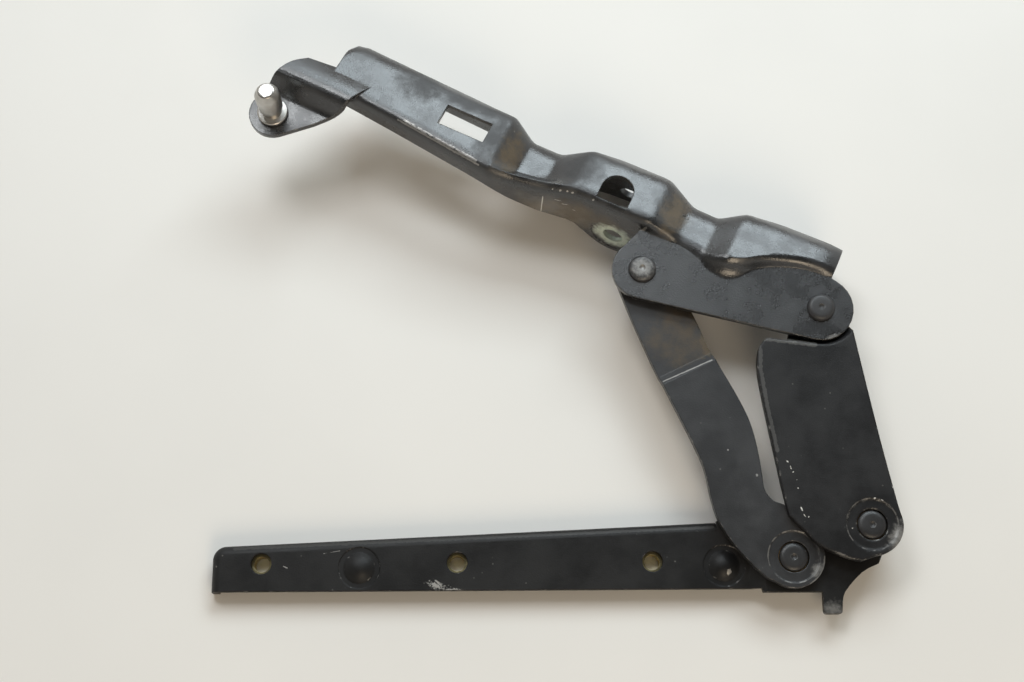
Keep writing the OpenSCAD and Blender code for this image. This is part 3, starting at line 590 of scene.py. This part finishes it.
def dress(node, material):
    """A CAD node's finish and its smooth shading."""
    solid = NODES[node]
    solid.data.materials.clear()
    solid.data.materials.append(material)
    smooth = solid.modifiers.new("Smooth to the edges", "NODES")
    smooth.node_group = soft_edge_nodes()
    flats = solid.modifiers.new("Flats stay flat", "WEIGHTED_NORMAL")
    flats.keep_sharp = True
    flats.weight = FLAT_WEIGHT


class HINGE_OT_finish_bracket(bpy.types.Operator):
    """Coat the body bracket: satin black, scraped at its lower edge, worn at its tail, with a
    painted highlight along its upper bend
    """

    bl_idname = "hinge.finish_bracket"
    bl_label = "Body bracket"

    def execute(self, context):
        finish = context.scene.hinge_finish

        def bare(tree):
            # Worn tail tab, a nick on the right boss and two short scratches at the left
            return most(tree, [
                spot(tree, (161.5, -21.5, 7), (6, 5, 6), 0.5, 600.0, core=0.0, strength=0.45),
                spot(tree, (118, -5, 5), (1.1, 1.3, 3), 0.8, strength=0.8),
                scratch(tree, (-75.2, -1.2), (-73.6, -1.9), 0.3),
                scratch(tree, (-58, 4.2), (-51, 5.4), 0.2, 0.45, 0.6)])

        def pale(tree):
            # Scrape at the lower edge, and a painted highlight along the upper bend
            return most(tree, [
                spot(tree, (-8.8, -9.8, 3), (4.2, 1.5, 4), 1.9, 1100.0, radians(-14), 0.2, 0.5),
                spot(tree, (-8.2, -8.6, 3), (2.6, 0.5, 4), 1.2, 900.0, radians(-38), 0.3, 0.5),
                spot(tree, (-2.5, -11.5, 2), (3.4, 0.5, 4), 1.2, core=0.3, strength=0.55),
                # Painted highlight along the upper bend, in place of the rolled rim's light
                scratch(tree, (-97, 6.6), (112, 14.9), 0.9, strength=0.05)])

        dress("body_bracket", black_coat(
            "Bracket coat", finish.bracket_colour, wear=0.45, bare=bare, pale=pale,
            rough=(0.40, 0.56), shine=0.26))
        return {"FINISHED"}


class HINGE_OT_finish_links(bpy.types.Operator):
    """Coat the links: satin black, rubbed along the front link's step with painted brown reflection
    above it, chipped on the rear link with painted highlights on its rolled edge and lip
    """

    bl_idname = "hinge.finish_links"
    bl_label = "Links"

    def execute(self, context):
        finish = context.scene.hinge_finish

        def front_brown_reflection(tree):
            # Painted brown reflection of the warm cloth above the step, stronger at its right edge
            brown_tint = most(tree, [
                spot(tree, (101, 101, 7.5), (26, 30, 3.4), 0.35, 120.0, core=0.3),
                spot(tree, (112, 97, 7.5), (5, 12, 4), 0.6, 200.0)])
            return faded(tree, brown_tint, 0.75)

        def front_bare(tree):
            # Step, lower pivot, lower end, upper right edge and two nicks
            return most(tree, [
                scratch(tree, (91.5, 78.6), (113.4, 88.2), 0.4, 0.3, 0.75),
                rubbed_ring(tree, FRONT_LOWER_PIVOT, 0.4, 0.5),
                spot(tree, (154.6, -5.4, 12), (3.0, 5.0, 4), 0.7, 420.0, radians(-32), 0.2, 0.4),
                *scratches(tree, WORN_END, 0.5, 0.15, 0.5),
                spot(tree, (112.2, 97.5, 9), (0.9, 6.5, 4), 1.1, 500.0, radians(25), strength=0.5),
                spot(tree, (130.8, 36.1, 12), (0.5, 0.7, 3), 0.6),
                spot(tree, (118.7, 47.3, 12), (0.4, 0.4, 3), 0.6)])

        def rear_bare(tree):
            # Lower right edge, lower edge and lower pivot
            return most(tree, [
                spot(tree, (189.4, 6.6, 14.5), (5.2, 11.0, 6), 0.5, 380.0, radians(-18),
                     core=0.15, strength=0.75),
                spot(tree, (168, -1.6, 16), (9, 1.2, 5), 0.9, 500.0, radians(-30), 0.3, 0.4),
                rubbed_ring(tree, REAR_LOWER_PIVOT, 0.35, 0.35)])

        def rear_chips_and_highlights(tree):
            # Chips, a painted highlight along the rolled edge, and painted light on the lip under
            # the upper end and on its shaded ramp
            chips = [spot(tree, (x, y, CHIP_HEIGHT), (wide, tall, 3), 1.3, 1500.0,
                          radians(turn), core=0.4)
                     for x, y, wide, tall, turn in CHIPS]
            return most(tree, [
                *chips,
                # Painted highlight along the rolled edge
                *scratches(tree, ROLLED_EDGE_HIGHLIGHT, 1.1, strength=0.07),
                # Painted reflection on the lip, and painted light over its ramp, which lies in
                # shade under the arm
                scratch(tree, (134, 97), (159, 93.6), 1.2, strength=0.1),
                scratch(tree, (134.3, 99.5), (159.3, 96.1), 1.8, strength=0.25)])

        dress("front_link", black_coat(
            "Front link coat", finish.front_link_colour, brown_reflection_and_film=front_brown_reflection, bare=front_bare))
        dress("rear_link", black_coat(
            "Rear link coat", finish.rear_link_colour, peel=1700.0, bare=rear_bare, pale=rear_chips_and_highlights,
            shine=0.32, rounding=2.2))
        return {"FINISHED"}


class HINGE_OT_finish_arm(bpy.types.Operator):
    """Coat the bonnet arm: satin black, rubbed folds, painted brown reflection on the valleys'
    slopes, painted reflection on the far rolls and a primed washer seat
    """

    bl_idname = "hinge.finish_arm"
    bl_label = "Bonnet arm"

    def execute(self, context):
        finish = context.scene.hinge_finish

        def brown_reflection_and_film(tree):
            # Painted brown reflection of the warm cloth on the slopes down to both valleys, and
            # brown on the wall, partly a film and partly painted reflection
            brown_tint = most(tree, [
                arm_spot(tree, (-77, 25, 16), (7.5, 17, 14), 0.6, 230.0, 0.1),
                arm_spot(tree, (3, 30, 16), (9.5, 15, 14), 0.6, 230.0, 0.1),
                arm_spot(tree, (-40, 12, 4), (34, 10, 15), 0.5, 80.0, 0.3)])
            return faded(tree, brown_tint, 0.85)

        def bare(tree):
            # Rubbed near fold, its specks, the pivot plate's edge and a scratch past the ear
            return most(tree, [
                arm_scratch(tree, (-130, 16.4), (-104, 13.5), 0.45, 0.3, 0.8),
                arm_scratch(tree, (-104, 13.5), (-87, 11.7), 0.5, 0.25, 0.8),
                arm_scratch(tree, (-128, 17.2), (-104, 14.5), 0.8, 0.4, 0.8),
                arm_scratch(tree, (-104, 14.5), (-89, 12.9), 0.8, 0.35, 0.8),
                *[spot(tree, on_arm(along, across, SPECK_HEIGHT), (0.6, 0.4, 5), 0.8)
                  for along, across in SPECKS],
                spot(tree, (168, 97.6, 15), (6, 1.4, 4), 1.0, 500.0, radians(14), 0.3, 0.5),
                arm_scratch(tree, (-12, 14.6), (-6, 18), 0.35, 0.2, 0.8)])

        def pale(tree):
            # Scratch and scuffs on the wall, painted reflection on the far rolls, the wall made
            # paler and a nick
            return most(tree, [
                arm_scratch(tree, (-55.4, 13.4), (-54.4, 8.2), 0.3, 0.3),
                *[arm_spot(tree, (along, WALL_ACROSS, z), (long, 5, 0.35), 0.7, strength=0.8)
                  for along, z, long in SCUFFS],
                # Painted reflection on the far rolls
                *[arm_spot(tree, (along, across, ROLL_REFLECTION_HEIGHT), (long, 4, 6.5), 0.2, 120.0,
                           core=0.35, strength=0.16)
                  for along, across, long in ROLL_REFLECTIONS],
                arm_spot(tree, (-34, 12.4, 5), (42, 5, 17), 0.4, 90.0, 0.3, 0.15),
                spot(tree, on_arm(-36, 3.6, 4), (0.8, 0.6, 8), 0.9)])

        def primer(tree):
            # Washer seat of the ear
            return arm_spot(tree, (-20, 15.4, -2.7), (11.2, 4, 11.2), 0.3, 300.0, 0.5, 0.95)

        def dull(tree):
            return most(tree, [
                arm_spot(tree, (along, across, PAD_HEIGHT), (long, wide, 14), 0.5, 160.0, 0.1, 0.85)
                for along, across, long, wide in DULL_ENDS])

        dress("bonnet_arm", black_coat(
            "Arm coat", finish.arm_colour, peel=1300.0, cloud=85.0, brown_reflection_and_film=brown_reflection_and_film, bare=bare,
            pale=pale, primer=primer, dull=dull, rough=(0.20, 0.38), shine=0.9, pebble=0.5))
        return {"FINISHED"}


class HINGE_OT_finish_pivots(bpy.types.Operator):
    """Finish the rivets, bushes and washers of the four pivots"""

    bl_idname = "hinge.finish_pivots"
    bl_label = "Pivots"

    def execute(self, context):
        finish = context.scene.hinge_finish

        def rubbed(tree):
            # The whole head of the front upper rivet
            return spot(tree, (*ARM_START, 18), (6.6, 6.6, 3), 0.6, 420.0, core=0.2, strength=0.55)

        coat = black_coat("Rivet coat", finish.rivet_colour, wear=0.75, peel=1900.0,
                          rough=RIVET_ROUGH)
        bright = black_coat("Rubbed rivet", finish.rivet_colour, wear=0.75, peel=1900.0,
                            bare=rubbed, rough=RIVET_ROUGH)
        bronze = plated("Bearing bronze", finish.bronze_colour, DULL_BRONZE, (0.32, 0.5))
        steel = plated("Washer steel", finish.washer_colour, DULL_WASHER, (0.38, 0.58))
        for name in RIVETS:
            dress(name, bright if name == RUBBED_RIVET else coat)
        for name in BUSHES:
            dress(name, bronze)
        for name in WASHERS:
            dress(name, steel)
        return {"FINISHED"}


class HINGE_OT_finish_fasteners(bpy.types.Operator):
    """Plate the stay stud and the weld nuts"""

    bl_idname = "hinge.finish_fasteners"
    bl_label = "Stud and nuts"

    def execute(self, context):
        finish = context.scene.hinge_finish
        dress("stay_stud", plated("Bright zinc", finish.zinc_colour, DULL_ZINC, (0.30, 0.46)))
        yellow = plated("Yellow zinc", finish.yellow_colour, DULL_YELLOW, (0.3, 0.45),
                        threads=True)
        for name in WELD_NUTS:
            dress(name, yellow)
        return {"FINISHED"}


def seen_rays(tree):
    """1 where the eye, a reflection or a clear piece looks, and 0 for falling light."""
    path = tree.nodes.new("ShaderNodeLightPath").outputs
    return most(tree, [path["Is Camera Ray"], path["Is Glossy Ray"], path["Is Transmission Ray"]])


def show_pale(tree, lit, pale, share, output):
    """Shows the pale shader in place of the lit one where the eye or a reflection looks."""
    blend = put(tree, "ShaderNodeMixShader",
                {0: math(tree, "MULTIPLY", share, seen_rays(tree)),
                 1: lit.outputs[0], 2: pale.outputs[0]})
    tree.links.new(blend.outputs[0], tree.nodes[output].inputs["Surface"])


def floor_cloth(colour):
    """Pale cloth, evenly pale far from the hinge."""
    material, tree, shader = blank("Pale cloth")
    where = place(tree)
    weave = noise(tree, where, 900.0, 3.0, 0.6)
    shade = noise(tree, where, 7.0, 3.0, 0.5)
    base = mix_colour(tree, ramp(tree, shade, 0.3, 0.75), tuple(colour), tinted(colour, 0.965))
    bump = put(tree, "ShaderNodeBump",
               {"Height": weave, "Strength": 0.08, "Distance": WEAVE_DEPTH})
    tree.links.new(base, shader.inputs["Base Color"])
    tree.links.new(bump.outputs["Normal"], shader.inputs["Normal"])
    shader.inputs["Roughness"].default_value = 0.9
    shader.inputs["Specular IOR Level"].default_value = 0.1
    far = ramp(tree, measure(tree, "DISTANCE", where, HINGE_MIDDLE), *FAR_FLOOR)
    pale = put(tree, "ShaderNodeEmission", {"Color": tuple(colour), "Strength": 1.0})
    show_pale(tree, shader, pale, far, "Material Output")
    return material


def make_floor(scene, colour):
    """The sloping floor."""
    slope = Matrix.Translation(FLOOR_MOVE) @ Matrix.Rotation(FLOOR_LEAN, 4, "X")
    shape = bmesh.new()
    bmesh.ops.create_grid(shape, x_segments=2, y_segments=2, size=FLOOR_HALF, matrix=slope)
    data = bpy.data.meshes.new("Floor")
    shape.to_mesh(data)
    shape.free()
    data.materials.append(floor_cloth(colour))
    floor = bpy.data.objects.new("Floor", data)
    scene.collection.objects.link(floor)


def make_world(scene, stage):
    """Even light from all round, and a pale lower part that goes on as the floor does."""
    world = bpy.data.worlds.new("Studio")
    world.use_nodes = True
    tree = world.node_tree
    light = tree.nodes["Background"]
    light.inputs["Color"].default_value = WORLD_COLOUR
    heading = put(tree, "ShaderNodeSeparateXYZ",
                  {0: tree.nodes.new("ShaderNodeTexCoord").outputs["Generated"]}).outputs
    strength = put(tree, "ShaderNodeMapRange",
                   {"Value": heading["Z"], "From Min": HORIZON, "From Max": ZENITH,
                    "To Min": stage.horizon_strength, "To Max": stage.zenith_strength})
    tree.links.new(strength.outputs["Result"], light.inputs["Strength"])
    pale = put(tree, "ShaderNodeBackground",
               {"Color": tuple(stage.floor_colour), "Strength": 1.0})
    lift = faded(tree, ramp(tree, heading["Y"], *BEHIND), RIM_LIFT)
    high = ramp(tree, math(tree, "SUBTRACT", heading["Z"], lift), *PALE_RIM)
    show_pale(tree, light, pale, math(tree, "SUBTRACT", 1.0, high), "World Output")
    scene.world = world


def area_light(scene, name, position, aim, size, power, colour):
    """A soft rectangular lamp."""
    data = bpy.data.lights.new(name, "AREA")
    data.shape = "RECTANGLE"
    data.size, data.size_y = size
    data.energy = power
    data.color = colour
    lamp = bpy.data.objects.new(name, data)
    lamp.location = position
    lamp.rotation_euler = (Vector(aim) - Vector(position)).to_track_quat("-Z", "Y").to_euler()
    scene.collection.objects.link(lamp)


def make_camera(scene, focal_length):
    """The camera at the photograph's angle."""
    data = bpy.data.cameras.new("Camera")
    data.lens = focal_length
    data.sensor_width = SENSOR_WIDTH
    data.clip_start = CLIP_START
    camera = bpy.data.objects.new("Camera", data)
    camera.location = CAMERA_PLACE
    camera.rotation_euler = Euler(CAMERA_TURN, "XYZ")
    scene.collection.objects.link(camera)
    scene.camera = camera


class HINGE_OT_build_stage(bpy.types.Operator):
    """Make the pale floor, the soft lights and the camera"""

    bl_idname = "hinge.build_stage"
    bl_label = "Stage"

    def execute(self, context):
        scene = context.scene
        stage = scene.hinge_stage
        make_floor(scene, stage.floor_colour)
        make_world(scene, stage)
        for name, position, aim, size, power, colour in LAMPS:
            area_light(scene, name, position, aim, size, getattr(stage, power), colour)
        make_camera(scene, stage.lens)
        scene.view_settings.view_transform = "Standard"
        return {"FINISHED"}


STEPS = (HINGE_OT_finish_bracket, HINGE_OT_finish_links, HINGE_OT_finish_arm,
         HINGE_OT_finish_pivots, HINGE_OT_finish_fasteners, HINGE_OT_build_stage)


class HINGE_PT_sidebar(bpy.types.Panel):
    """The hinge's settings and steps"""

    bl_label = "Bonnet hinge"
    bl_idname = "HINGE_PT_sidebar"
    bl_space_type = "VIEW_3D"
    bl_region_type = "UI"
    bl_category = "Bonnet hinge"

    def draw(self, context):
        layout = self.layout
        for settings in (context.scene.hinge_finish, context.scene.hinge_stage):
            for name in settings.__annotations__:
                layout.prop(settings, name)
        for step in STEPS:
            layout.operator(step.bl_idname)


CLASSES = (HingeFinish, HingeStage, *STEPS, HINGE_PT_sidebar)


def register():
    for made in CLASSES:
        bpy.utils.register_class(made)
    bpy.types.Scene.hinge_finish = PointerProperty(type=HingeFinish)
    bpy.types.Scene.hinge_stage = PointerProperty(type=HingeStage)


def unregister():
    del bpy.types.Scene.hinge_stage
    del bpy.types.Scene.hinge_finish
    for made in reversed(CLASSES):
        bpy.utils.unregister_class(made)


def main():
    register()
    bpy.ops.hinge.finish_bracket()
    bpy.ops.hinge.finish_links()
    bpy.ops.hinge.finish_arm()
    bpy.ops.hinge.finish_pivots()
    bpy.ops.hinge.finish_fasteners()
    bpy.ops.hinge.build_stage()


if __name__ == "__main__":
    main()
